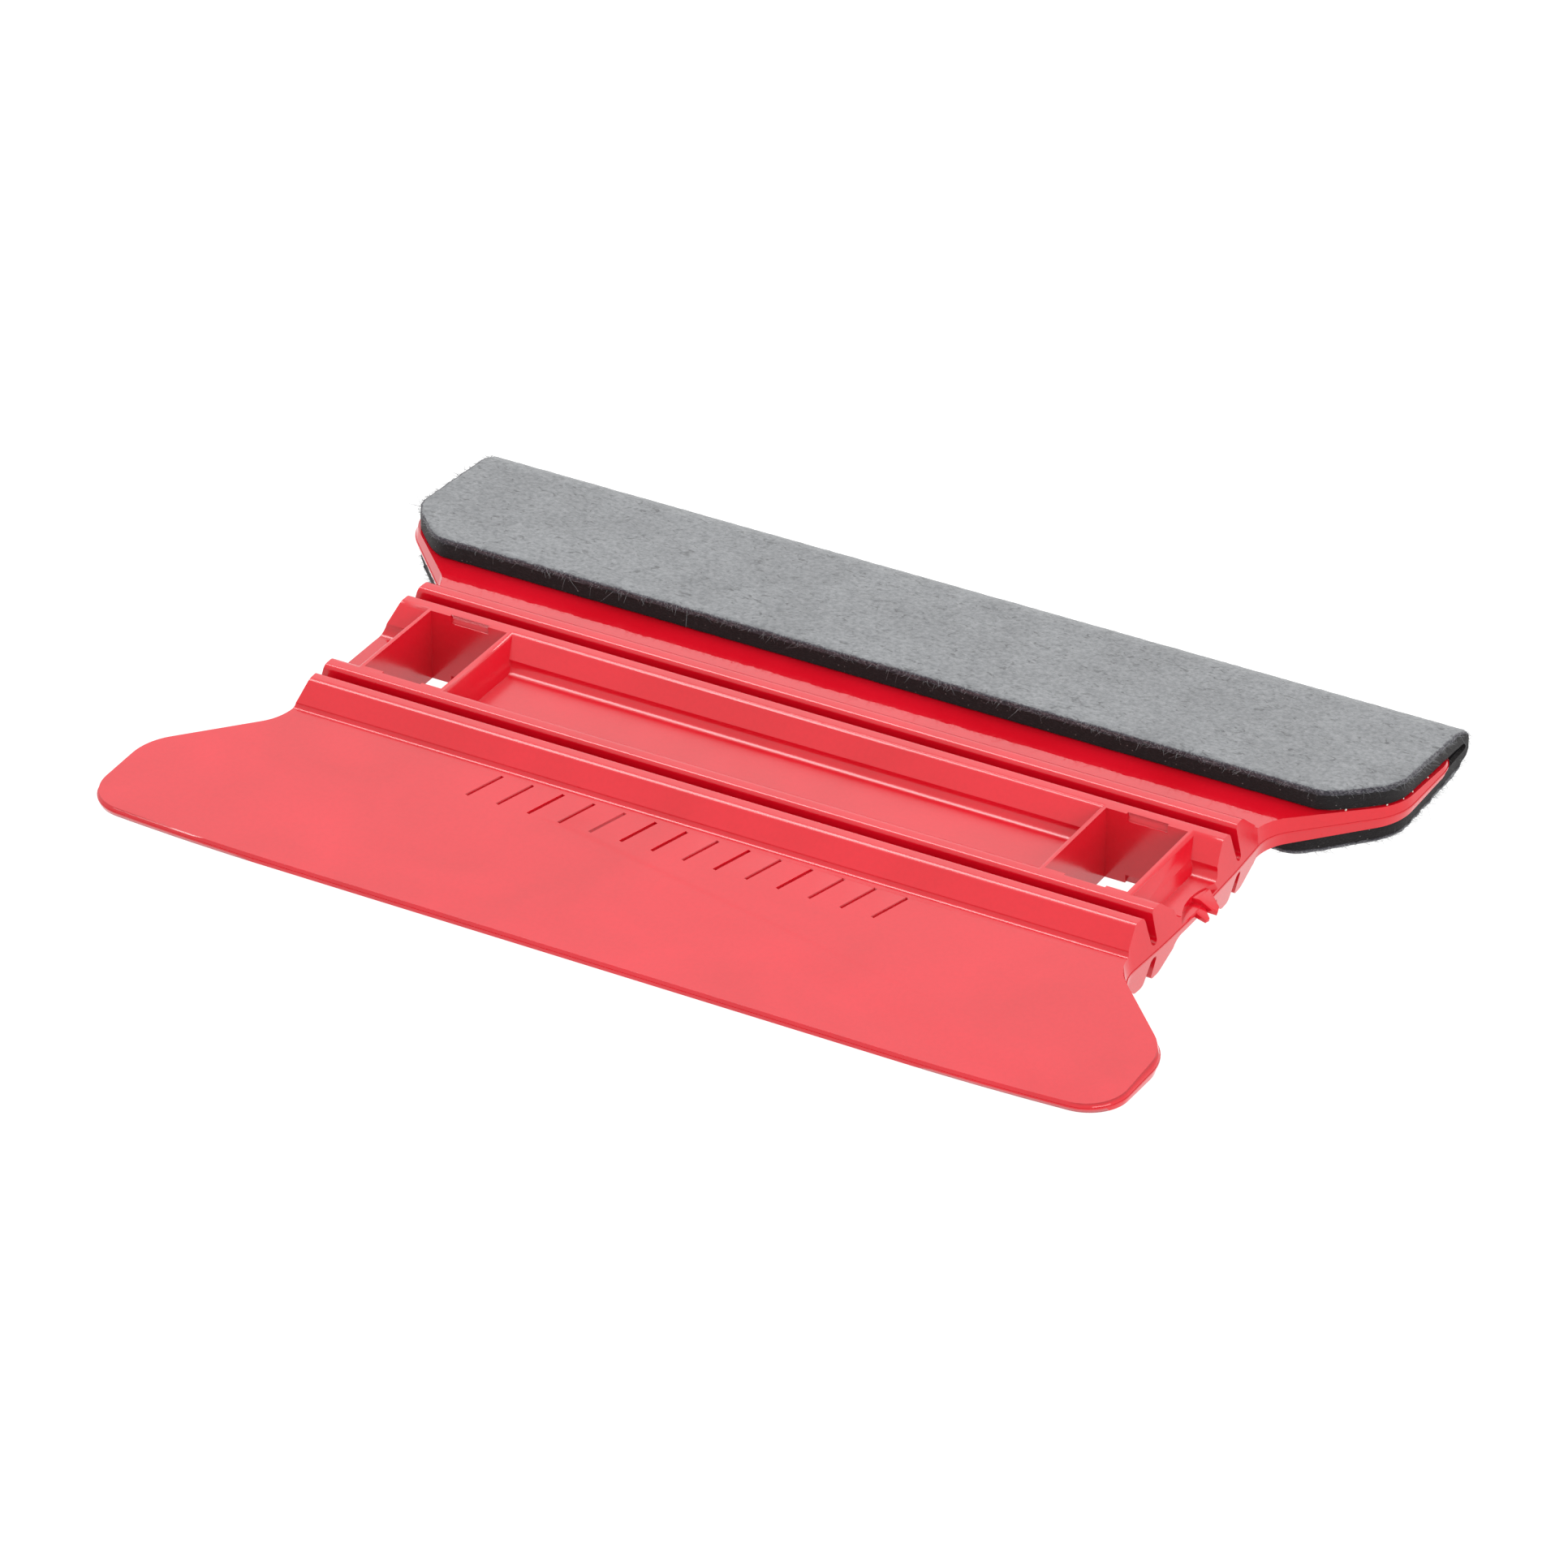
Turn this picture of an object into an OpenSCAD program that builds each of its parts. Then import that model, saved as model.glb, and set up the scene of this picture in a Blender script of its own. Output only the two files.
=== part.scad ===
// Squeegee applicator for laying vinyl film. One flexible moulding has a working blade
// along each long side and a ribbed grip between them. A laminated buffer strip, with a
// suede face, is folded over the rear blade and stuck to it. Millimetres.
// X runs along the blades, +Y towards the buffer, +Z up. The moulding lies on its lower ribs.

/* [Moulding outline] */
// Width of both blades at their widest place
blade_w = 127; // [120:0.5:134]
// Depth of the moulding from one blade tip to the other
moulding_d = 85.6; // [82:0.2:90]
// How much farther the rear blade reaches from the grip than the front one
rear_more = 2.2; // [0:0.2:3]
// Width of the moulding at the middle of its waist
waist_w = 106.4; // [104:0.1:107.6]
// How far the waist edge falls back beside the outer ribs
waist_bow = 0.5; // [0.3:0.1:0.8]
// Radius where the waist runs into the flare
waist_r = 5.5; // [4:0.5:6]
// Angle between the flare and the depth direction
flare_deg = 44.6; // [43:0.2:46]
// Where the flare would meet the side edge, from the middle of the depth
shoulder_y = 28; // [27.8:0.1:28.8]
// Radius between the flare and the side edge
shoulder_r = 7; // [5:0.5:9]
// Radius of the blade corners at the tips
tip_corner_r = 5; // [3:0.5:6]
// How far the tip edge falls back in a long arc towards its corners
tip_fall = 0.7; // [0.4:0.1:1]

/* [Moulding thickness] */
// Thickness of a blade at its tip
tip_t = 1; // [0.8:0.1:1.4]
// Thickness of a blade at its root, beside the outer rib
root_t = 3.6; // [3.2:0.1:3.8]
// Thickness of the tray floor between the inner ribs
web_t = 2.2; // [1.8:0.1:2.6]
// Draft of every outer edge, above and below the parting line
draft_deg = 14; // [8:1:16]

/* [Ribs] */
// Height over the upper and the lower ribs
rib_h = 8.8; // [8:0.1:9.4]
// Middle of each pair of ribs, from the middle of the depth
pair_y = 9.85; // [9.7:0.05:10]
// Angle of a rib's long slope from the horizontal
ramp_deg = 41; // [38:1:44]
// Height of the foot of that slope above the mid-plane
ramp_foot_z = 2.5; // [2.3:0.1:2.6]

/* [Pockets] */
// Distance between the middles of the two pockets
pocket_spacing = 85.8; // [84.6:0.2:86.6]
// Size of a pocket along the blades
pocket_w = 10; // [9:0.1:10.5]
// Size of a pocket across the blades
pocket_d = 14.1; // [13:0.1:14.3]
// Thickness of a pocket's side wall at its top
pocket_wall_t = 0.75; // [0.6:0.05:1]

/* [Buffer] */
// Front edge of the buffer's upper layer, from the middle of the depth
buffer_top_y = 22.2; // [21:0.2:24]
// Front edge of the buffer's lower layer, from the middle of the depth
buffer_low_y = 19.8; // [19:0.2:22]
// Thickness of the buffer's upper layer at its front edge
buffer_t = 2.7; // [2.2:0.1:2.8]
// Thickness of the buffer's lower layer at its front edge
buffer_low_t = 2.1; // [1.8:0.1:2.6]
// Thickness of the whole buffer where the fold begins
buffer_fold_t = 2.1; // [1.6:0.1:2.4]
// How far the fold stands out past the rear blade's tip
fold_out = 2.4; // [2:0.1:3]
// How far the cut edge of the buffer lies inside the blade edge
buffer_setback = 0.6; // [0.4:0.1:1]

/* [Hidden] */

ARC_STEPS = 8;          // straight pieces in each quarter of a drawn arc
half_w = blade_w / 2;
tip_y = (moulding_d - rear_more) / 2;       // the front tip
rear_tip_y = tip_y + rear_more;
rib_z = rib_h / 2;
web_z = web_t / 2;
fold_y = rear_tip_y + fold_out;
root_y = pair_y + 5;    // where a blade meets its outer rib
blade_slope = (root_t - tip_t) / 2 / (tip_y - root_y);
REACH = 80;             // past every outer face of the object
bead_out = 0.06;        // the bead at the parting line stands out this far
bead_h = 0.16;

// ---- Plan outline: [point, outward normal] pairs for one quarter, from near +X to near +Y

function unit(a) = [cos(a), sin(a)];
function rim(c, r, a0, a1, n) =
    [for (i = [0:n]) let (a = a0 + (a1 - a0) * i / n) [c + r * unit(a), unit(a)]];
// An arc that starts where the one before it ends leaves that point out; a radius under 0 is a hollow
function next_rim(c, r, a0, a1, n) =
    [for (i = [1:n]) let (a = a0 + (a1 - a0) * i / n) [c + r * unit(a), unit(a)]];

bow_r = root_y * root_y / (2 * waist_bow);
bow_c = [waist_w / 2 - bow_r, 0];
flare_along = [sin(flare_deg), cos(flare_deg)];
flare_out = unit(-flare_deg);
// The hollow at the waist touches the bowed waist edge and the flare
hollow_from = [half_w, shoulder_y] + waist_r * flare_out - bow_c;
hollow_back = hollow_from * flare_along
    - sqrt(pow(hollow_from * flare_along, 2) - hollow_from * hollow_from + pow(bow_r + waist_r, 2));
hollow_c = bow_c + hollow_from - hollow_back * flare_along;
waist_end_deg = atan2(hollow_c[1], hollow_c[0] - bow_c[0]);
shoulder_c = [half_w - shoulder_r, shoulder_y + shoulder_r * tan(flare_deg / 2)];

// A tip edge is straight in its middle and falls back in an arc that runs into the corner
FALL_LENGTH = 20;       // along the edge, from the end of the straight to the corner's centre

function quarter_outline(ty, corner_r, fall) = let (
    fall_r = FALL_LENGTH * FALL_LENGTH / (2 * fall) + fall / 2,
    fall_c = [half_w - corner_r - FALL_LENGTH, ty - fall_r],
    turn = asin(FALL_LENGTH / (fall_r - corner_r)))
    concat(
        rim(bow_c, bow_r, waist_end_deg / 5, waist_end_deg, 2),
        next_rim(hollow_c, -waist_r, waist_end_deg, -flare_deg, ARC_STEPS),
        rim(shoulder_c, shoulder_r, -flare_deg, 0, ARC_STEPS),
        rim(fall_c + (fall_r - corner_r) * unit(90 - turn), corner_r, 0, 90 - turn, 2 * ARC_STEPS),
        next_rim(fall_c, fall_r, 90 - turn, 90, ARC_STEPS));

function inset(q, s) = [for (e = q) e[0] - s * e[1]];
// Mirrors a quarter, which touches neither axis, into a half or a whole loop
function flip_x(q) = [for (i = [len(q) - 1:-1:0]) [-q[i][0], q[i][1]]];
function half_loop(q) = concat(q, flip_x(q));
function whole_loop(q) = two_halves(q, q);
// The rear half from one quarter and the front half from another
function two_halves(rear, front) = concat(half_loop(rear), -1 * half_loop(front));

function moulding_loop(s) = two_halves(
    inset(quarter_outline(rear_tip_y, tip_corner_r, tip_fall), s),
    inset(quarter_outline(tip_y, tip_corner_r, tip_fall), s));

// The outline as a solid that narrows above and below the parting line, in planar faces
draft_z = rib_z + 1;
draft_in = draft_z * tan(draft_deg);

module drafted_outline() {
    rings = [for (l = [[-draft_z, draft_in], [0, 0], [draft_z, draft_in]])
        [for (p = moulding_loop(l[1])) [p[0], p[1], l[0]]]];
    n = len(rings[0]);
    // Each cap is a ladder of trapezoids, between a point at +X and the one facing it at -X
    facing = function(i) (3 * n / 2 - 1 - i) % n;
    rungs = [for (s = [0:n / 2 - 2]) let (i = (3 * n / 4 + s) % n, j = (i + 1) % n)
        [i, j, facing(j), facing(i)]];
    polyhedron(
        points = [for (r = rings) each r],
        faces = concat(
            rungs,
            [for (r = rungs) [for (k = [3:-1:0]) 2 * n + r[k]]],
            [for (k = [0, 1], i = [0:n - 1]) let (a = k * n + i, b = k * n + (i + 1) % n)
                [a, a + n, b + n, b]]));
}

// The line where the mould's halves meet stands out as a fine bead round the edge
module parting_bead() {
    linear_extrude(height = bead_h, center = true)
        polygon(moulding_loop(-bead_out));
}

// ---- Section across the blades, in Y and Z

groove_floor_z = 0.75;
groove_r = 0.6;         // half width and end radius of the groove's floor
groove_top = 0.75;      // half width of the groove just under the rib tops
crest_r = 0.6;          // rounding of a rib top on the groove side
land_end = 2.1;         // end of the flat rib top, from the middle of the pair
ramp_r = 1.2;           // rounding between the rib top and its long slope
step_in = 0.1;          // the steep foot below a slope leans out this far
section_end = rear_tip_y + 2;

function blade_z(y) = root_t / 2 - (y - root_y) * blade_slope;
function arc(c, r, a0, a1, n) = [for (i = [0:n]) c + r * unit(a0 + (a1 - a0) * i / n)];

ramp_top = [land_end, rib_z - ramp_r] + ramp_r * unit(90 - ramp_deg);
ramp_foot = ramp_top[0] + (ramp_top[1] - ramp_foot_z) / tan(ramp_deg);

// One rib, from the middle of the groove out to the surface at height floor_z
function half_pair(floor_z) = let (cove = ramp_foot_z - floor_z - step_in) concat(
    arc([0, groove_floor_z + groove_r], groove_r, -90, 0, 4),
    arc([groove_top + crest_r, rib_z - crest_r], crest_r, 180, 90, 5),
    arc([land_end, rib_z - ramp_r], ramp_r, 90, 90 - ramp_deg, 5),
    [[ramp_foot, ramp_foot_z]],
    arc([ramp_foot + step_in + cove, floor_z + cove], cove, 180, 270, 6));

inner_rib = half_pair(web_z);
outer_rib = half_pair(blade_z(pair_y + ramp_foot));
quarter_section = concat(
    [[section_end, blade_z(section_end)]],
    [for (i = [len(outer_rib) - 1:-1:0]) [pair_y + outer_rib[i][0], outer_rib[i][1]]],
    [for (i = [1:len(inner_rib) - 1]) [pair_y - inner_rib[i][0], inner_rib[i][1]]]);

// Stands a drawing of Y and Z upright and runs it along X
module along_x(length) {
    rotate([90, 0, 90]) linear_extrude(height = length, center = true) children();
}

// ---- Pockets for bar magnets, through the grip near each end

notch_w = 5;            // shallow notch in the middle of a pocket's front and rear rims
notch_in = 0.35;
notch_z = 1;
wall_foot = 2;          // thickness of a pocket's side wall at the tray floor
wall_round = 0.5;
wall_round_from = 22;   // the rounding of its top starts at this angle

module pocket_walls() {
    half = pocket_w / 2;
    quarter = concat([[half + wall_foot, web_z]],
        arc([half + pocket_wall_t - wall_round, rib_z - wall_round], wall_round,
            wall_round_from, 90, 4));
    rotate([90, 0, 0])
        linear_extrude(height = 2 * (pair_y - land_end), center = true)
            polygon(whole_loop(quarter));
}

module pocket_cut() {
    cube([pocket_w, pocket_d, 2 * REACH], center = true);
    for (up = [-1, 1])
        translate([0, 0, up * (rib_z - notch_z + REACH / 2)])
            cube([notch_w, pocket_d + 2 * notch_in, REACH], center = true);
}

// ---- Gate mark on the +X end, and a generic row of slanted strokes on the front blade

gate_x = waist_w / 2;
recess_r = 8;           // the gate sits in a shallow round-backed recess
recess_in = 1.3;
recess_floor_z = 0.3;

module gate_recess() {
    translate([gate_x - recess_in + recess_r, 0, recess_floor_z])
        cylinder(h = rib_z, r = recess_r, $fn = 96);
}

module gate_stub() {
    hull() {
        translate([gate_x - 1.4, 0.4, -0.4]) cube([1, 2.4, 1.3]);
        translate([gate_x + 0.9, 0.3, -0.4]) rotate([8, 14, 20]) cube([0.8, 0.8, 0.6]);
    }
    hull() {
        translate([gate_x - 0.9, -0.8, -0.5]) cube([0.8, 1.6, 0.7]);
        translate([gate_x + 0.6, -1.2, -0.5]) rotate([0, 10, -15]) cube([0.7, 0.6, 0.4]);
    }
}

stroke_count = 14;
stroke_pitch = 3.9;
stroke_w = 0.45;
stroke_len = 5.2;
stroke_lean_deg = 18;
stroke_depth = 0.22;
stroke_y = -18.5;

module strokes() {
    for (i = [0:stroke_count - 1])
        translate([(i - (stroke_count - 1) / 2) * stroke_pitch, stroke_y,
                   blade_z(-stroke_y) - stroke_depth])
            rotate([atan(blade_slope), 0, -stroke_lean_deg])
                translate([-stroke_w / 2, -stroke_len / 2, 0])
                    cube([stroke_w, stroke_len, rib_z]);
}

// ---- Buffer: four bonded layers, each a U that wraps the rear blade

// Each layer lies between two shares of the buffer's thickness, 0 at the blade, 1 outside
film_share = 0.06;
core_share = 0.72;
knit_share = 0.79;
bend_y = rear_tip_y - 0.4;      // where the innermost layer leaves the blade's faces for the fold
bend_back = 2;          // the outermost one leaves them this much farther forward
fold_gap = 0.9;         // hollow left inside the fold, past the blade tip
fold_corner_r = 0.8;
fold_fall = 0.1;

// The curve at a share f of the thickness, from the upper front edge round to the lower one
function wrap(f) = let (
    from_y = bend_y - f * bend_back,
    inner_a = rear_tip_y - bend_y + fold_gap,
    a = inner_a + f * (fold_y - bend_y + bend_back - inner_a),
    b = blade_z(from_y) + f * buffer_fold_t,
    n = 2 * ARC_STEPS)
    concat(
        [[buffer_top_y, blade_z(buffer_top_y) + f * buffer_t]],
        [for (i = [0:2 * n]) let (t = 90 - 90 * i / n) [from_y + a * cos(t), b * sin(t)]],
        [[buffer_low_y, -blade_z(buffer_low_y) - f * buffer_low_t]]);

module buffer_layer(f0, f1) {
    inner = wrap(f0);
    n = len(inner) - 1;
    outline = quarter_outline(fold_y + buffer_setback, fold_corner_r + buffer_setback, fold_fall);
    intersection() {
        along_x(2 * REACH) polygon(concat(wrap(f1), [for (i = [n:-1:0]) inner[i]]));
        linear_extrude(height = 2 * REACH, center = true)
            polygon(half_loop(inset(outline, buffer_setback)));
    }
}

// The frame: middle of the whole object's depth, with the lower ribs on Z = 0
module in_frame() {
    translate([0, (tip_y + bead_out - fold_y) / 2, rib_z]) children();
}

module moulded_body() color([0.90, 0.13, 0.17]) in_frame() difference() {
    union() {
        intersection() {
            along_x(2 * REACH) polygon(whole_loop(quarter_section));
            drafted_outline();
        }
        parting_bead();
        for (side = [-1, 1]) translate([side * pocket_spacing / 2, 0, 0]) pocket_walls();
        gate_stub();
    }
    for (side = [-1, 1]) translate([side * pocket_spacing / 2, 0, 0]) pocket_cut();
    difference() {
        gate_recess();
        gate_stub();
    }
    strokes();
}

module adhesive_film() color([0.93, 0.90, 0.86]) in_frame() buffer_layer(0, film_share);
module foam_core() color([0.10, 0.10, 0.11]) in_frame() buffer_layer(film_share, core_share);
module knit_backing() color([0.24, 0.24, 0.26]) in_frame() buffer_layer(core_share, knit_share);
module suede_face() color([0.62, 0.63, 0.64]) in_frame() buffer_layer(knit_share, 1);

moulded_body();
adhesive_film();
foam_core();
knit_backing();
suede_face();
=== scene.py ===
"""Squeegee applicator: the looks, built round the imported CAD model. Lengths are in metres."""

import math
import random

import bmesh
import bpy
import numpy as np
from mathutils import Matrix, Vector, noise


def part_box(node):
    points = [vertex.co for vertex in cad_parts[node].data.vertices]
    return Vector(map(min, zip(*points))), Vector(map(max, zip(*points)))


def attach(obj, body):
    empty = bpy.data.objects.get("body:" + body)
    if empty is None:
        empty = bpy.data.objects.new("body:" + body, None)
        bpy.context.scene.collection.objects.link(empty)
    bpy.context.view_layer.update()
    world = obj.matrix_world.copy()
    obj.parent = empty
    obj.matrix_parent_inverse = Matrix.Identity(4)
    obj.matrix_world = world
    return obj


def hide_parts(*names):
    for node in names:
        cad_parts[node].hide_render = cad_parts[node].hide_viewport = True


MM = 0.001
SEED = 41

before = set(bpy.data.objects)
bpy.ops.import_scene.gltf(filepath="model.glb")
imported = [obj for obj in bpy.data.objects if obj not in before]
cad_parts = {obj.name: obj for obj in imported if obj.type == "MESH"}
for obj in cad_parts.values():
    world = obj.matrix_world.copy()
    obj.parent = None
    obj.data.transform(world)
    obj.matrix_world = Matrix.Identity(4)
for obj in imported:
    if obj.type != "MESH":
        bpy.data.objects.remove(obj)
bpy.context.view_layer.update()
moulding_low, moulding_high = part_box("moulded_body")
suede_low, suede_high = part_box("suede_face")

MID_Z = moulding_high.z / 2
BEAD_OUT = 0.06 * MM                    # how far the parting line stands out of the edge
MID_Y = moulding_low.y + BEAD_OUT + 41.7 * MM       # the middle of the grip
TIP_Y = moulding_high.y - BEAD_OUT      # the tip of the rear blade
GRIP_HALF = 15 * MM                     # from the middle of the grip to where a blade starts

# ---- Camera: a long lens at the front right, looking down on the squeegee

CAMERA_AZIMUTH = 29.643
CAMERA_ELEVATION = 31.281
CAMERA_ROLL = 0.018
CAMERA_DISTANCE = 0.97156
CAMERA_LENS = 203.32        # on a 36 mm sensor
CAMERA_TARGET = Vector((1.567 * MM, -1.912 * MM, MID_Z))


def make_camera():
    """Puts the camera where it looks at the target from the fitted side."""
    azimuth, elevation = math.radians(CAMERA_AZIMUTH), math.radians(CAMERA_ELEVATION)
    back = Vector((math.sin(azimuth) * math.cos(elevation),
                   -math.cos(azimuth) * math.cos(elevation),
                   math.sin(elevation)))
    camera = bpy.data.objects.new("camera", bpy.data.cameras.new("camera"))
    camera.data.sensor_width = 36
    camera.data.lens = CAMERA_LENS
    camera.data.clip_start = 0.05
    camera.data.clip_end = 20
    roll = Matrix.Rotation(math.radians(CAMERA_ROLL), 3, "Z")
    turn = (-back).to_track_quat("-Z", "Y").to_matrix() @ roll
    camera.matrix_world = Matrix.Translation(CAMERA_TARGET + back * CAMERA_DISTANCE) @ turn.to_4x4()
    bpy.context.scene.collection.objects.link(camera)
    bpy.context.scene.camera = camera


# ---- Studio: a white tent over a lit white table

SKY_STRENGTH = 1.20
FLOOR_SIZE = 6.0
FLOOR_GREY = 0.12
FLOOR_GLOW = 1.0
SOFTBOXES = (               # name, position, size and power; each points at the origin
    ("softbox_top", (-0.42, 0.23, 0.88), (0.5, 0.2), 2.8),
    ("softbox_back", (-0.51, 0.89, 0.62), (1.4, 0.6), 1.3),
    ("softbox_right", (0.80, -0.45, 0.35), (0.7, 0.5), 4.6),
)


def shader_tree(material):
    """The material's empty node tree, with its output node."""
    material.use_nodes = True
    tree = material.node_tree
    tree.nodes.clear()
    return tree, tree.nodes.new("ShaderNodeOutputMaterial")


def softbox(name, position, size, power):
    """A rectangular light that points at the origin."""
    light = bpy.data.objects.new(name, bpy.data.lights.new(name, "AREA"))
    light.data.shape = "RECTANGLE"
    light.data.size, light.data.size_y = size
    light.data.energy = power
    light.location = position
    light.rotation_euler = (-Vector(position)).to_track_quat("-Z", "Y").to_euler()
    bpy.context.scene.collection.objects.link(light)


def make_studio():
    """White surroundings, the softboxes and the table that the squeegee lies on."""
    world = bpy.data.worlds.new("tent")
    bpy.context.scene.world = world
    world.use_nodes = True
    background = world.node_tree.nodes["Background"]
    background.inputs["Color"].default_value = (1, 1, 1, 1)
    background.inputs["Strength"].default_value = SKY_STRENGTH
    for settings in SOFTBOXES:
        softbox(*settings)
    floor_mesh = bpy.data.meshes.new("floor")
    half = FLOOR_SIZE / 2
    corners = [(-half, -half, 0), (half, -half, 0), (half, half, 0), (-half, half, 0)]
    floor_mesh.from_pydata(corners, [], [(0, 1, 2, 3)])
    floor = bpy.data.objects.new("floor", floor_mesh)
    bpy.context.scene.collection.objects.link(floor)
    material = bpy.data.materials.new("lit_table")
    tree, output = shader_tree(material)
    shader = tree.nodes.new("ShaderNodeBsdfPrincipled")
    shader.inputs["Base Color"].default_value = (FLOOR_GREY, FLOOR_GREY, FLOOR_GREY, 1)
    shader.inputs["Roughness"].default_value = 0.9
    shader.inputs["Specular IOR Level"].default_value = 0.1
    shader.inputs["Emission Color"].default_value = (1, 1, 1, 1)
    shader.inputs["Emission Strength"].default_value = FLOOR_GLOW
    tree.links.new(shader.outputs["BSDF"], output.inputs["Surface"])
    floor_mesh.materials.append(material)
    bpy.context.scene.view_settings.view_transform = "Standard"


# ---- Materials

class Weave:
    """A material under construction: short calls that add nodes and join them."""

    def __init__(self, name):
        self.material = bpy.data.materials.new(name)
        self.tree, output = shader_tree(self.material)
        self.shader = self.add("ShaderNodeBsdfPrincipled")
        self.tree.links.new(self.shader.outputs["BSDF"], output.inputs["Surface"])
        self.place = self.add("ShaderNodeTexCoord").outputs["Object"]

    def add(self, kind, **settings):
        node = self.tree.nodes.new(kind)
        for key, value in settings.items():
            setattr(node, key, value)
        return node

    def feed(self, socket, value):
        """Joins another node's output to the socket, or sets it to a plain value."""
        if isinstance(value, bpy.types.NodeSocket):
            self.tree.links.new(value, socket)
        else:
            socket.default_value = value

    def depth(self):
        """How far back a point lies, along the frame's Y."""
        node = self.add("ShaderNodeSeparateXYZ")
        self.feed(node.inputs[0], self.place)
        return node.outputs["Y"]

    def stretched(self, scale):
        """The place with each axis scaled, for noise that is longer one way."""
        node = self.add("ShaderNodeMapping")
        self.feed(node.inputs["Vector"], self.place)
        node.inputs["Scale"].default_value = scale
        return node.outputs["Vector"]

    def noise(self, size, detail=2.0, rough=0.5, vector=None, distortion=0.0):
        """Noise whose features are about size metres wide."""
        node = self.add("ShaderNodeTexNoise")
        self.feed(node.inputs["Vector"], vector or self.place)
        node.inputs["Scale"].default_value = 1 / size
        node.inputs["Detail"].default_value = detail
        node.inputs["Roughness"].default_value = rough
        node.inputs["Distortion"].default_value = distortion
        return node.outputs["Fac"]

    def cells(self, size):
        """The distance to the nearest of points that lie about size metres apart."""
        node = self.add("ShaderNodeTexVoronoi")
        self.feed(node.inputs["Vector"], self.place)
        node.inputs["Scale"].default_value = 1 / size
        return node.outputs["Distance"]

    def ramp(self, value, *stops):
        """Maps value to colours or greys at the given places."""
        node = self.add("ShaderNodeValToRGB")
        self.feed(node.inputs["Fac"], value)
        elements = node.color_ramp.elements
        while len(elements) < len(stops):
            elements.new(0.5)
        for element, (position, colour) in zip(elements, stops):
            element.position = position
            element.color = colour if isinstance(colour, tuple) else (colour, colour, colour, 1)
        return node.outputs["Color"]

    def between(self, value, low, high, to_low, to_high):
        """Maps value from the first range to the second, and holds it inside the second."""
        node = self.add("ShaderNodeMapRange")
        self.feed(node.inputs["Value"], value)
        node.inputs["From Min"].default_value = low
        node.inputs["From Max"].default_value = high
        node.inputs["To Min"].default_value = to_low
        node.inputs["To Max"].default_value = to_high
        return node.outputs["Result"]

    def mix(self, share, a, b, blend="MIX"):
        """Colour a turned into b by a share, or blended with it."""
        node = self.add("ShaderNodeMix", data_type="RGBA", blend_type=blend)
        self.feed(node.inputs[0], share)
        self.feed(node.inputs[6], a)
        self.feed(node.inputs[7], b)
        return node.outputs[2]

    def sum(self, a, b, operation="ADD"):
        """Two numbers joined, by default added."""
        node = self.add("ShaderNodeMath", operation=operation)
        self.feed(node.inputs[0], a)
        self.feed(node.inputs[1], b)
        return node.outputs[0]

    def bump(self, height, depth, under=None):
        """Relief of the given depth in metres, over another relief."""
        node = self.add("ShaderNodeBump")
        self.feed(node.inputs["Height"], height)
        node.inputs["Distance"].default_value = depth
        if under:
            self.feed(node.inputs["Normal"], under)
        return node.outputs["Normal"]

    def attribute(self, name):
        """A number that the mesh holds at each point."""
        return self.add("ShaderNodeAttribute", attribute_name=name).outputs["Fac"]

    def finish(self, colour, roughness, normal, **sockets):
        """Feeds the shader, and gives the finished material."""
        self.feed(self.shader.inputs["Base Color"], colour)
        self.feed(self.shader.inputs["Roughness"], roughness)
        self.feed(self.shader.inputs["Normal"], normal)
        for name, value in sockets.items():
            self.shader.inputs[name.replace("_", " ")].default_value = value
        return self.material


def red_plastic():
    """Glossy on the blades, less so on the grip."""
    w = Weave("red_plastic")
    flow = w.noise(14 * MM, 2, 0.5, distortion=0.6)
    colour = w.ramp(flow, (0.3, (0.500, 0.0025, 0.0100, 1)), (0.7, (0.560, 0.0040, 0.0145, 1)))
    speck = w.ramp(w.noise(0.5 * MM, 3), (0.35, 0.96), (0.6, 1.0))
    colour = w.mix(1.0, colour, speck, "MULTIPLY")
    from_middle = w.sum(w.sum(w.depth(), MID_Y, "SUBTRACT"), 0.0, "ABSOLUTE")
    on_grip = w.between(from_middle, GRIP_HALF, GRIP_HALF + 1.5 * MM, 0.13, 0.0)
    roughness = w.sum(w.between(w.noise(2.2 * MM, 4, 0.6), 0.3, 0.7, 0.03, 0.07), on_grip)
    scratches = w.noise(0.35 * MM, 2, 0.5, w.stretched((0.04, 1, 1)))
    waves = w.bump(w.noise(9 * MM, 1, 0.4), 0.035 * MM)
    peel = w.bump(w.noise(0.9 * MM, 2, 0.5), 0.0030 * MM, waves)
    normal = w.bump(scratches, 0.0008 * MM, peel)
    return w.finish(colour, roughness, normal, IOR=1.54)


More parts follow.
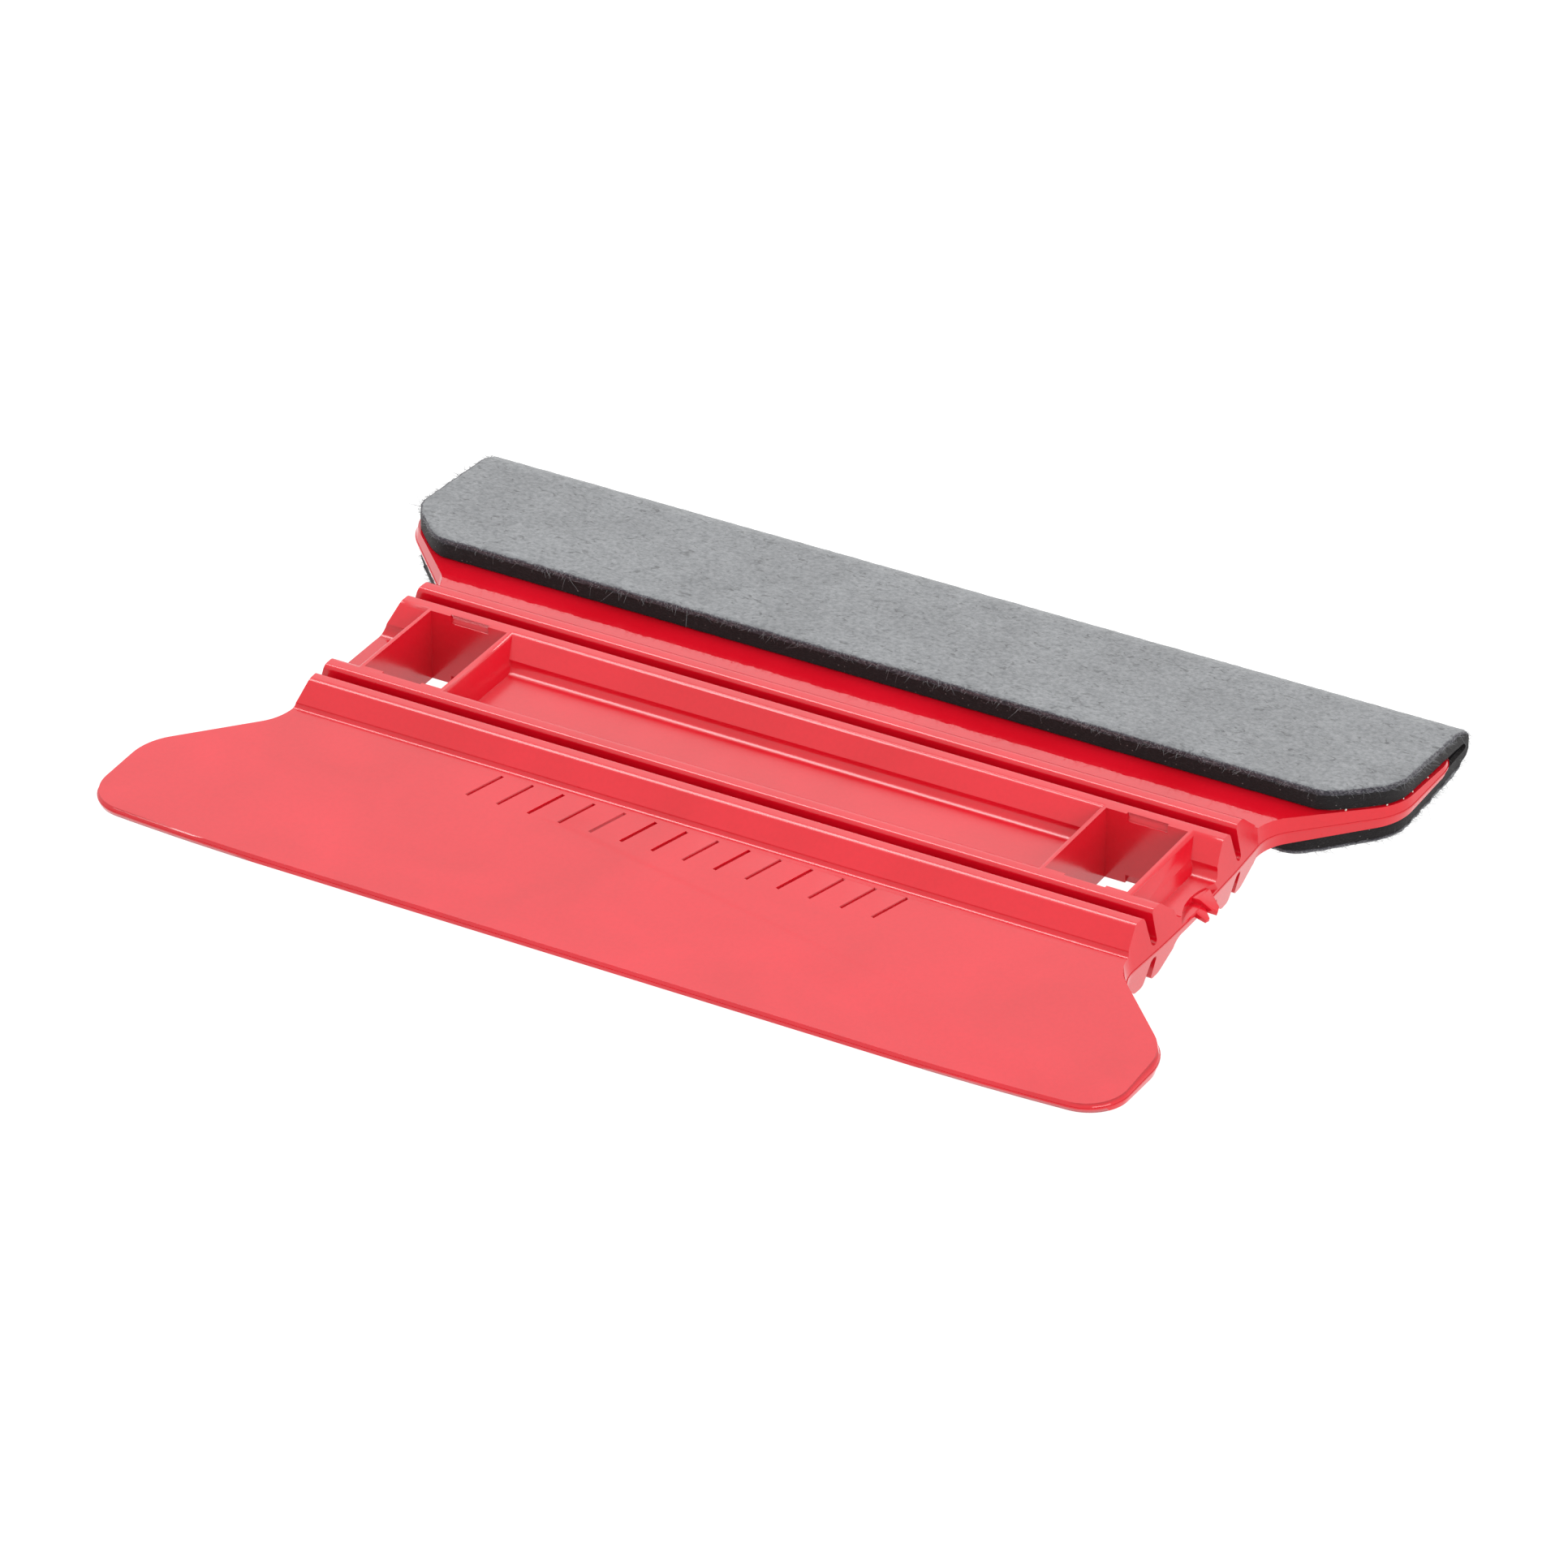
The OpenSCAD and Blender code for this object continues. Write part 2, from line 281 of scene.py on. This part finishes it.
def grey_suede():
    """A short grey nap with darker flecks. Its cut edges carry painted shade: near black and mottled,
    ragged at the border.
    """
    w = Weave("grey_suede")
    nap = w.noise(0.55 * MM, 4, 0.62)
    cloud = w.noise(6 * MM, 3, 0.55)
    colour = w.ramp(nap, (0.30, (0.128, 0.134, 0.140, 1)), (0.52, (0.190, 0.196, 0.203, 1)),
                    (0.75, (0.245, 0.250, 0.257, 1)))
    colour = w.mix(1.0, colour, w.ramp(cloud, (0.35, 0.90), (0.65, 1.05)), "MULTIPLY")
    marks = w.noise(0.8 * MM, 2, 0.5, w.stretched((0.6, 1.0, 1.0)), 1.5)
    colour = w.mix(1.0, colour, w.ramp(marks, (0.30, 0.55), (0.40, 1.0)), "MULTIPLY")
    fluff = w.noise(0.25 * MM, 3, 0.6)
    # Painted shade: the cut edges' colour, near black with a paler fibre mottle, stands in for the
    # shade that falls on the edges.
    edge = w.ramp(fluff, (0.35, (0.012, 0.011, 0.015, 1)), (0.56, (0.050, 0.047, 0.057, 1)),
                  (0.74, (0.17, 0.165, 0.175, 1)))
    frayed_shade = w.sum(w.attribute("cut"), w.between(fluff, 0.3, 0.7, -0.35, 0.35))
    colour = w.mix(w.between(frayed_shade, 0.35, 0.65, 0.0, 1.0), colour, edge)
    normal = w.bump(nap, 0.10 * MM, w.bump(fluff, 0.05 * MM))
    return w.finish(colour, 0.92, normal, Sheen_Weight=0.25, Sheen_Roughness=0.5,
                    Specular_IOR_Level=0.15)


def dark_cloth(name, grain, low, middle, high, relief):
    """A dark, rough cut edge with pale flecks of fibre."""
    w = Weave(name)
    fibres = w.noise(grain, 4, 0.65, w.stretched((0.7, 1.0, 1.6)), 0.8)
    colour = w.ramp(fibres, (0.35, low), (0.58, middle), (0.80, high))
    pale = w.ramp(w.cells(0.8 * MM), (0.05, 1.0), (0.12, 0.0))
    colour = w.mix(w.sum(pale, w.noise(1.7 * MM, 1), "MULTIPLY"), colour, (0.22, 0.21, 0.20, 1))
    normal = w.bump(fibres, relief)
    return w.finish(colour, 0.85, normal, Sheen_Weight=0.1, Specular_IOR_Level=0.2)


def adhesive():
    """Pale, but painted near black inside the fold, as painted shade in the gap over the blade's tip.
    """
    w = Weave("adhesive")
    mottle = w.noise(0.6 * MM, 3)
    colour = w.ramp(mottle, (0.35, (0.50, 0.45, 0.38, 1)), (0.65, (0.78, 0.74, 0.68, 1)))
    # Painted shade: the film turns near black inside the fold, where the gap lies in shade.
    fold_shade = w.between(w.depth(), TIP_Y - 6 * MM, TIP_Y - 4 * MM, 0.0, 1.0)
    colour = w.mix(fold_shade, colour, (0.012, 0.011, 0.012, 1))
    return w.finish(colour, 0.45, w.bump(mottle, 0.03 * MM))


# ---- The moulding: the CAD solid with its edges broken, as they leave the mould

FLAT_DEG = 0.6              # faces closer than this to one plane are one face
EDGE_DEG = 24               # edges sharper than this are broken
EDGE_WIDTH = 0.12 * MM
SMOOTH_DEG = 32             # edges sharper than this are shaded sharp
BEAD_HALF = 0.12 * MM       # edges this close to the middle plane belong to the parting line
LONG_EDGE = 30 * MM         # an edge that runs farther than this along X is a long one
END_X, END_Y = 49 * MM, 21 * MM         # the ribs' ends lie past END_X and within END_Y of the middle
END_RUN = 4 * MM            # the most that an edge of a rib's end runs along X


def new_piece(name, mesh, material):
    """An object of one material, on the root body."""
    piece = bpy.data.objects.new(name, mesh)
    bpy.context.scene.collection.objects.link(piece)
    mesh.materials.clear()
    mesh.materials.append(material)
    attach(piece, "root")
    return piece


def break_edges(bm, chosen):
    """Rounds the sharp edges for which chosen(edge) is true."""
    edges = [e for e in bm.edges if len(e.link_faces) == 2 and chosen(e)
             and e.calc_face_angle(0) > math.radians(EDGE_DEG)]
    bmesh.ops.bevel(bm, geom=edges, offset=EDGE_WIDTH, offset_type="OFFSET", segments=2,
                    profile=0.5, affect="EDGES", clamp_overlap=True)


def moulding():
    """The CAD body, with its long edges and the edges at the ribs' ends broken."""
    bm = bmesh.new()
    bm.from_mesh(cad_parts["moulded_body"].data)
    bmesh.ops.remove_doubles(bm, verts=bm.verts, dist=1e-7)
    bmesh.ops.dissolve_limit(bm, angle_limit=math.radians(FLAT_DEG), verts=bm.verts, edges=bm.edges)

    def off_the_bead(e):
        return all(abs(v.co.z - MID_Z) > BEAD_HALF for v in e.verts)

    def long_way(e):
        a, b = (v.co for v in e.verts)
        return off_the_bead(e) and abs(a.x - b.x) > LONG_EDGE

    def rib_end(e):
        a, b = (v.co for v in e.verts)
        across = max(abs(a.y - MID_Y), abs(b.y - MID_Y))
        return (off_the_bead(e) and min(abs(a.x), abs(b.x)) > END_X and across < END_Y
                and abs(a.x - b.x) < END_RUN)

    break_edges(bm, lambda e: long_way(e) or rib_end(e))
    mesh = bpy.data.meshes.new("moulding")
    bm.to_mesh(mesh)
    bm.free()
    mesh.shade_smooth()
    mesh.set_sharp_from_angle(angle=math.radians(SMOOTH_DEG))
    piece = new_piece("moulding", mesh, red_plastic())
    weighted = piece.modifiers.new("even_normals", "WEIGHTED_NORMAL")
    weighted.keep_sharp = True
    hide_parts("moulded_body")


# ---- The buffer: nested U-shaped layers round the rear blade, as the CAD layers lie

HALF_WIDTH = suede_high.x
FOLD_Y = suede_high.y
TOP_EDGE_Y = MID_Y + 22.2 * MM
LOW_EDGE_Y = suede_low.y
BEND_Y = TIP_Y - 0.4 * MM               # where the innermost layer starts to turn
BEND_BACK = 2 * MM                      # how much nearer the grip the outermost one does
FOLD_GAP = 0.9 * MM                     # the hollow between the blade's tip and the fold
FOLD_T = 0.16                           # the share of a layer's way round that lies in the fold
HALF_ROUND = 26 * MM                    # about half of a layer's way round
T_SPAN = 22 * MM                        # how far t = 1 reaches on the flat sides, roughly
BUFFER_TOP_T = 2.7 * MM
BUFFER_LOW_T = 2.1 * MM
BUFFER_FOLD_T = 2.1 * MM
ROOT_T, TIP_T = 3.6 * MM, 1.0 * MM
ROOT_Y = MID_Y + 14.85 * MM
BLADE_SLOPE = (ROOT_T - TIP_T) / 2 / (26.85 * MM)
FILM, CORE, KNIT = 0.06, 0.72, 0.79     # outer face of each layer, as a share of the thickness

FLARE_DEG = 44.6
SHOULDER_Y = MID_Y + 28 * MM            # where the flare would meet the moulding's side edge
SHOULDER_R = 7 * MM
SIDE_X = 63.5 * MM
SETBACK = 0.6 * MM                      # how far the buffer's ends lie inside the blade's
FOLD_CORNER_R = 0.8 * MM
FRONT_CORNER_R = 2.4 * MM
CORNER_CUT = 0.45                       # how much of its radius a front corner takes off the width
EDGE_DROP = 0.45                        # how much of its width a rounded edge falls
CUT_SHADE_REACH = 0.8                         # how far in the cut edges' painted shade reaches, in grid steps
LOW_CUT_SHADE = 0.6                           # how strong the cut edges' painted shade is on the lower side
CREASE_DEG = 50                         # edges sharper than this are shaded sharp


def blade_z(y):
    """The height of the blade's face above its middle plane, at a depth y."""
    return ROOT_T / 2 - (y - ROOT_Y) * BLADE_SLOPE


def half_width(y, front_y):
    """Half the buffer's width at a depth y, on the layer whose front edge is at front_y."""
    flare = math.radians(FLARE_DEG)
    centre = Vector((SIDE_X - SHOULDER_R, SHOULDER_Y + SHOULDER_R * math.tan(flare / 2)))
    r = SHOULDER_R - SETBACK
    arc_start = centre.y - r * math.sin(flare)
    if y < arc_start:
        x = centre.x + r * math.cos(flare) - (arc_start - y) * math.tan(flare)
    elif y < centre.y:
        x = centre.x + math.sqrt(r * r - (y - centre.y) ** 2)
    else:
        x = SIDE_X - SETBACK
    past = y - (FOLD_Y - FOLD_CORNER_R)
    if past > 0:
        x -= FOLD_CORNER_R - math.sqrt(max(FOLD_CORNER_R ** 2 - past * past, 0))
    near = (y - front_y) / FRONT_CORNER_R
    if near < 1:
        x -= CORNER_CUT * FRONT_CORNER_R * (1 - math.sqrt(max(1 - (1 - max(near, 0)) ** 2, 0)))
    return x


def wrap(share, t):
    """Depth and height on a layer at t, from -1 at its upper front edge over 0 at the fold to 1."""
    bend_y = BEND_Y - share * BEND_BACK
    inner = TIP_Y - BEND_Y + FOLD_GAP
    a = inner + share * (FOLD_Y - BEND_Y + BEND_BACK - inner)
    b = blade_z(bend_y) + share * BUFFER_FOLD_T
    if abs(t) < FOLD_T:
        angle = math.pi / 2 * t / FOLD_T
        return bend_y + a * math.cos(angle), MID_Z - b * math.sin(angle)
    front, thickness = (TOP_EDGE_Y, BUFFER_TOP_T) if t < 0 else (LOW_EDGE_Y, BUFFER_LOW_T)
    along = (abs(t) - FOLD_T) / (1 - FOLD_T)
    start, end = Vector((bend_y, b)), Vector((front, blade_z(front) + share * thickness))
    y, z = start.lerp(end, along)
    return y, MID_Z - math.copysign(z, t)


def layer_mesh(name, inner, outer, step, roughness, ragged, round_edge=0.0, held_in=0.0):
    """A closed U-shaped layer between two shares of the thickness, on a grid of about step.

    Its edges lie held_in inside those of the CAD layer. The attribute cut is 1 on the cut edges, where
    the suede paints shade.
    """
    rows = 2 * round(HALF_ROUND / step) + 1
    columns = 2 * round(HALF_WIDTH / step) + 1
    ts = np.linspace(-1, 1, rows)
    us = np.linspace(-1, 1, columns)
    points = np.zeros((2, rows, columns, 3))
    cut = np.zeros((2, rows, columns))
    for side, share in enumerate((inner, outer)):
        for i, t in enumerate(ts):
            front = TOP_EDGE_Y if t < 0 else LOW_EDGE_Y
            y, z = wrap(share, t)
            y1, z1 = wrap(share + 0.05, t)
            out = Vector((0, y1 - y, z1 - z)).normalized()
            width = half_width(y, front) - held_in
            if abs(t) == 1:
                y += held_in
            for j, u in enumerate(us):
                p = Vector((u * width, y, z))
                edge = min(width * (1 - abs(u)), (1 - abs(t)) * T_SPAN)
                n = noise.noise(p / (0.7 * MM)) + 0.5 * noise.noise(p / (0.3 * MM))
                if side:
                    p += out * roughness * n
                    if round_edge and edge < round_edge:
                        p -= out * EDGE_DROP * round_edge * (1 - edge / round_edge) ** 2
                if edge < step / 2:
                    wobble = noise.noise(p / (1.1 * MM) + Vector((7, 0, 0)))
                    toward = Vector((math.copysign(1, u), 0, 0)) if abs(u) == 1 else Vector((0, -1, 0))
                    p += toward * ragged * (wobble + 0.4 * n)
                points[side, i, j] = p
                # The cut attribute is a mask for painted shade on the cut edges, weaker on the lower
                # side.
                shade_strength = 1.0 if t < 0 else LOW_CUT_SHADE
                cut[side, i, j] = max(0.0, 1 - edge / (CUT_SHADE_REACH * step)) * shade_strength
    count = rows * columns
    faces = []

    def index(side, i, j):
        return side * count + i * columns + j

    for i in range(rows - 1):
        for j in range(columns - 1):
            a, b = index(0, i, j), index(0, i, j + 1)
            c, d = index(0, i + 1, j + 1), index(0, i + 1, j)
            faces.append((a, d, c, b))
            faces.append((a + count, b + count, c + count, d + count))
    rim = [(0, j) for j in range(columns - 1)]
    rim += [(i, columns - 1) for i in range(rows - 1)]
    rim += [(rows - 1, j) for j in range(columns - 1, 0, -1)]
    rim += [(i, 0) for i in range(rows - 1, 0, -1)]
    for k, (i, j) in enumerate(rim):
        m, n = rim[(k + 1) % len(rim)]
        faces.append((index(0, i, j), index(0, m, n), index(1, m, n), index(1, i, j)))
    mesh = bpy.data.meshes.new(name)
    mesh.from_pydata(points.reshape(-1, 3).tolist(), [], faces)
    mesh.attributes.new("cut", "FLOAT", "POINT").data.foreach_set("value", cut.ravel())
    mesh.validate()
    mesh.shade_smooth()
    mesh.set_sharp_from_angle(angle=math.radians(CREASE_DEG))
    return mesh


def flat_size(share):
    """The flat length and area of a layer's cloth, measured along a share of the thickness."""
    length = area = 0.0
    for step in range(400):
        t0, t1 = -1 + step / 200, -1 + (step + 1) / 200
        (y0, z0), (y1, z1) = wrap(share, t0), wrap(share, t1)
        piece = math.hypot(y1 - y0, z1 - z0)
        length += piece
        area += piece * 2 * half_width((y0 + y1) / 2, TOP_EDGE_Y if t0 < 0 else LOW_EDGE_Y)
    return length, area


# ---- Loose fibres and crumbs of adhesive

FIBRES = 2400
FIBRE_R = 0.020 * MM
FIBRE_ROOT = 0.12 * MM      # how deep a fibre starts under the cut edge
FIBRE_CLEAR = 0.02 * MM     # the least height of a fibre above the table
FLECKS = 6
FLECK_OUT = 0.02 * MM       # how far the middle of a crumb stands out of the buffer's end


def strand(verts, faces, root, out, bend, length):
    """Adds one closed three-sided fibre, tapering from its root along a curve."""
    first = len(verts)
    side = out.cross(Vector((0.3, 0.5, 0.8))).normalized()
    other = out.cross(side).normalized()
    rings = 4
    for k in range(rings):
        s = k / (rings - 1)
        middle = root + out * length * s + bend * length * s * s
        r = FIBRE_R * (1 - 0.6 * s)
        for corner in range(3):
            angle = 2 * math.pi * corner / 3
            point = middle + (side * math.cos(angle) + other * math.sin(angle)) * r
            point.z = max(point.z, FIBRE_CLEAR * (1 + k + corner / 4))
            verts.append(point)
    for k in range(rings - 1):
        for corner in range(3):
            a, b = first + 3 * k + corner, first + 3 * k + (corner + 1) % 3
            faces.append((a, b, b + 3, a + 3))
    last = first + 3 * (rings - 1)
    faces.append((first + 2, first + 1, first))
    faces.append((last, last + 1, last + 2))


def fuzz():
    """Loose fibres that stand out of the buffer's cut edges."""
    rng = random.Random(SEED)
    verts, faces = [], []
    for _ in range(FIBRES):
        share = rng.uniform(CORE, 1.0)
        if rng.random() < 0.55:
            t, u = rng.choice((-1, -1, 1)), rng.uniform(-0.99, 0.99)
            out = Vector((rng.gauss(0, 0.5), -1, rng.gauss(0, 0.4)))
        else:
            t, u = rng.uniform(-0.98, 0.98), rng.choice((-1, 1))
            out = Vector((u, rng.gauss(0, 0.5), rng.gauss(0, 0.4)))
        y, z = wrap(share, t)
        width = half_width(y, TOP_EDGE_Y if t < 0 else LOW_EDGE_Y)
        out.normalize()
        bend = Vector([rng.gauss(0, 0.5) for _ in range(3)])
        length = rng.uniform(0.25, 0.65) * MM if rng.random() < 0.97 else rng.uniform(0.9, 1.8) * MM
        strand(verts, faces, Vector((u * width, y, z)) - out * FIBRE_ROOT, out, bend, length)
    mesh = bpy.data.meshes.new("fuzz")
    mesh.from_pydata(verts, [], faces)
    return mesh


def flecks():
    """Crumbs of adhesive between the buffer's upper side and the blade, at the right end."""
    rng = random.Random(SEED + 1)
    bm = bmesh.new()
    for k in range(FLECKS):
        y, z = wrap(0.02, -0.95 + 0.75 * k / FLECKS + rng.uniform(-0.06, 0.06))
        place = Vector((half_width(y, TOP_EDGE_Y) + FLECK_OUT, y, z))
        size = Vector([rng.uniform(0.06, 0.13) * (2 if k == 0 else 1) * MM for _ in range(3)])
        made = bmesh.ops.create_icosphere(bm, subdivisions=2, radius=1.0)
        for v in made["verts"]:
            lump = 1 + 0.35 * noise.noise(v.co * 1.7 + Vector((k * 3.1, 0, 0)))
            v.co = place + Vector([a * b * lump for a, b in zip(v.co, size)])
    mesh = bpy.data.meshes.new("adhesive_flecks")
    bm.to_mesh(mesh)
    bm.free()
    mesh.shade_smooth()
    return mesh


def buffer():
    """The strip's four layers, its loose fibres and the crumbs of adhesive."""
    suede_cloth = grey_suede()
    suede_mesh = layer_mesh("suede", KNIT, 1.0, step=0.45 * MM, roughness=0.04 * MM,
                            ragged=0.16 * MM, round_edge=0.5 * MM)
    suede = new_piece("suede", suede_mesh, suede_cloth)
    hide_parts("suede_face")
    fibres = new_piece("fuzz", fuzz(), suede_cloth)

    knit_cloth = dark_cloth("dark_knit", 0.35 * MM, (0.006, 0.006, 0.008, 1),
                            (0.04, 0.038, 0.046, 1), (0.22, 0.21, 0.22, 1), 0.12 * MM)
    knit_mesh = layer_mesh("knit", CORE, KNIT, step=0.45 * MM, roughness=0.0, ragged=0.22 * MM)
    knit = new_piece("knit", knit_mesh, knit_cloth)
    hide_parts("knit_backing")

    felt_cloth = dark_cloth("black_felt", 0.25 * MM, (0.0022, 0.0018, 0.0020, 1),
                            (0.0060, 0.0045, 0.0052, 1), (0.036, 0.032, 0.033, 1), 0.08 * MM)
    core_mesh = layer_mesh("core", FILM, CORE, step=0.6 * MM, roughness=0.0, ragged=0.05 * MM)
    core = new_piece("core", core_mesh, felt_cloth)
    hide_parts("foam_core")

    glue = adhesive()
    film_mesh = layer_mesh("film", 0.0, FILM, step=1.0 * MM, roughness=0.0, ragged=0.08 * MM,
                           held_in=0.45 * MM)
    film = new_piece("film", film_mesh, glue)
    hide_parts("adhesive_film")
    new_piece("adhesive_flecks", flecks(), glue)

    length, area = flat_size((KNIT + 1) / 2)
    length, area = flat_size((CORE + KNIT) / 2)


make_camera()
make_studio()
moulding()
buffer()
